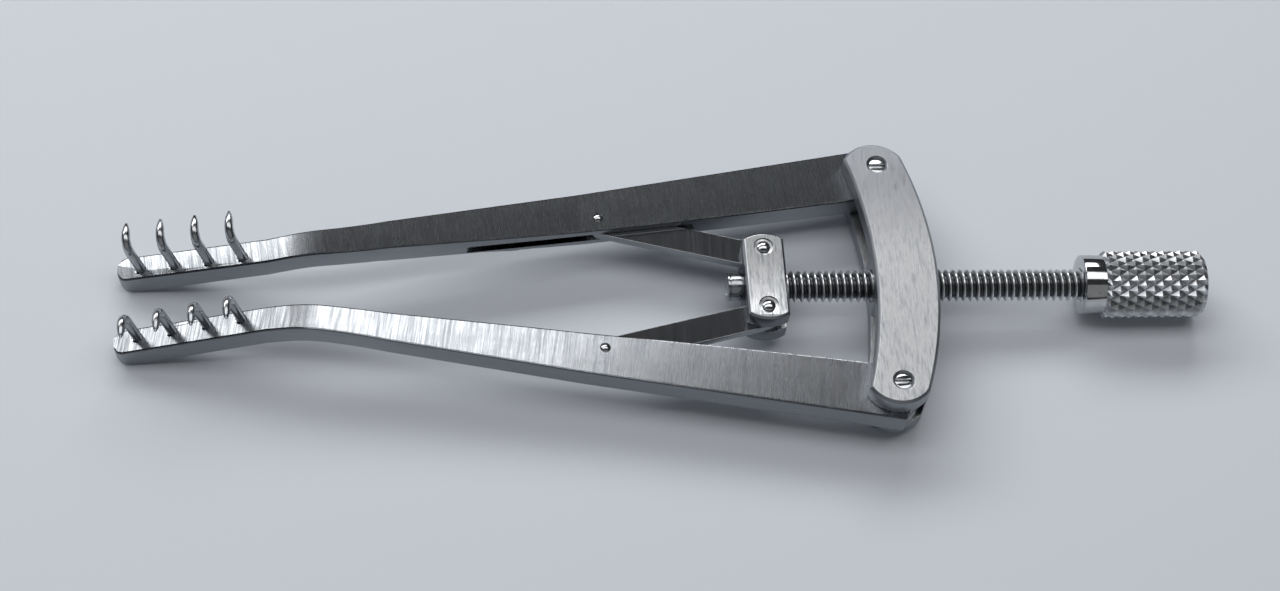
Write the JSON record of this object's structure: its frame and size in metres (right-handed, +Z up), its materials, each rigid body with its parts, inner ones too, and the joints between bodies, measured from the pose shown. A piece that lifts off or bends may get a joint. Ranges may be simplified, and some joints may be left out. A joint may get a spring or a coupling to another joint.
{
  "type": "self retaining retractor",
  "caption": "Small screw-operated surgical retractor: two pivoting arms with rows of outward-hooked prongs, spread by a thumb screw through a yoke.",
  "frame": {"origin": "under the middle of the instrument's length, on the surface that the tips of the prong bars touch", "axes": "+X along the screw towards the thumb knob, +Y towards the right arm, +Z up, the side that the prongs rise to"},
  "size_m": [0.0964, 0.028, 0.0092],
  "materials": {
    "brushed_block": "brushed stainless steel, satin",
    "arm_blade": "stainless steel brushed across the blade",
    "link_plate": "smooth stainless steel",
    "screw_steel": "polished stainless steel",
    "pin_steel": "polished stainless steel",
    "prong_wire": "polished stainless steel wire"
  },
  "bodies": {
    "frame": {"yoke": "brushed_block", "pivot_screw_left": "pin_steel", "pivot_screw_right": "pin_steel"},
    "arm_left": {"arm_left": "arm_blade", "prong_left_1": "prong_wire", "prong_left_2": "prong_wire", "prong_left_3": "prong_wire", "prong_left_4": "prong_wire", "arm_link_pin_left": "pin_steel"},
    "arm_right": {"arm_right": "arm_blade", "prong_right_1": "prong_wire", "prong_right_2": "prong_wire", "prong_right_3": "prong_wire", "prong_right_4": "prong_wire", "arm_link_pin_right": "pin_steel"},
    "crosshead": {"crosshead": "brushed_block", "crosshead_pin_left": "pin_steel", "crosshead_pin_right": "pin_steel"},
    "screw": {"spindle": "screw_steel", "thumb_knob": "screw_steel", "retaining_collar": "screw_steel"},
    "link_left": {"link_left": "link_plate"},
    "link_right": {"link_right": "link_plate"}
  },
  "joints": [
    {"name": "crosshead_slide", "type": "slide", "parent": "frame", "child": "crosshead", "axis": [-1, 0, 0], "range_m": [0, 0.009]},
    {"name": "screw_turn", "type": "hinge", "parent": "crosshead", "child": "screw", "pos_m": [0.01945, 0, 0.00439], "axis": [-1, 0, 0], "range_deg": [0, 5102.3]},
    {"name": "arm_left_swing", "type": "hinge", "parent": "frame", "child": "arm_left", "pos_m": [0.01945, -0.0111, 0.00439], "axis": [0, 0, 1], "range_deg": [0, 23.2]},
    {"name": "arm_right_swing", "type": "hinge", "parent": "frame", "child": "arm_right", "pos_m": [0.01945, 0.0111, 0.00439], "axis": [0, 0, -1], "range_deg": [0, 23.2]},
    {"name": "link_left_swing", "type": "hinge", "parent": "crosshead", "child": "link_left", "pos_m": [0.00853, -0.003, 0.00439], "axis": [0, 0, 1], "range_deg": [0, 54.5]},
    {"name": "link_right_swing", "type": "hinge", "parent": "crosshead", "child": "link_right", "pos_m": [0.00853, 0.003, 0.00439], "axis": [0, 0, -1], "range_deg": [0, 54.5]}
  ],
  "couplings": [
    {"joint": "screw_turn", "follows": "crosshead_slide", "rad_per_m": 9894.6},
    {"joint": "arm_left_swing", "follows": "crosshead_slide", "rad_per_m": 44.99},
    {"joint": "link_left_swing", "follows": "crosshead_slide", "rad_per_m": 105.69},
    {"joint": "arm_right_swing", "follows": "crosshead_slide", "rad_per_m": 44.99},
    {"joint": "link_right_swing", "follows": "crosshead_slide", "rad_per_m": 105.69}
  ]
}
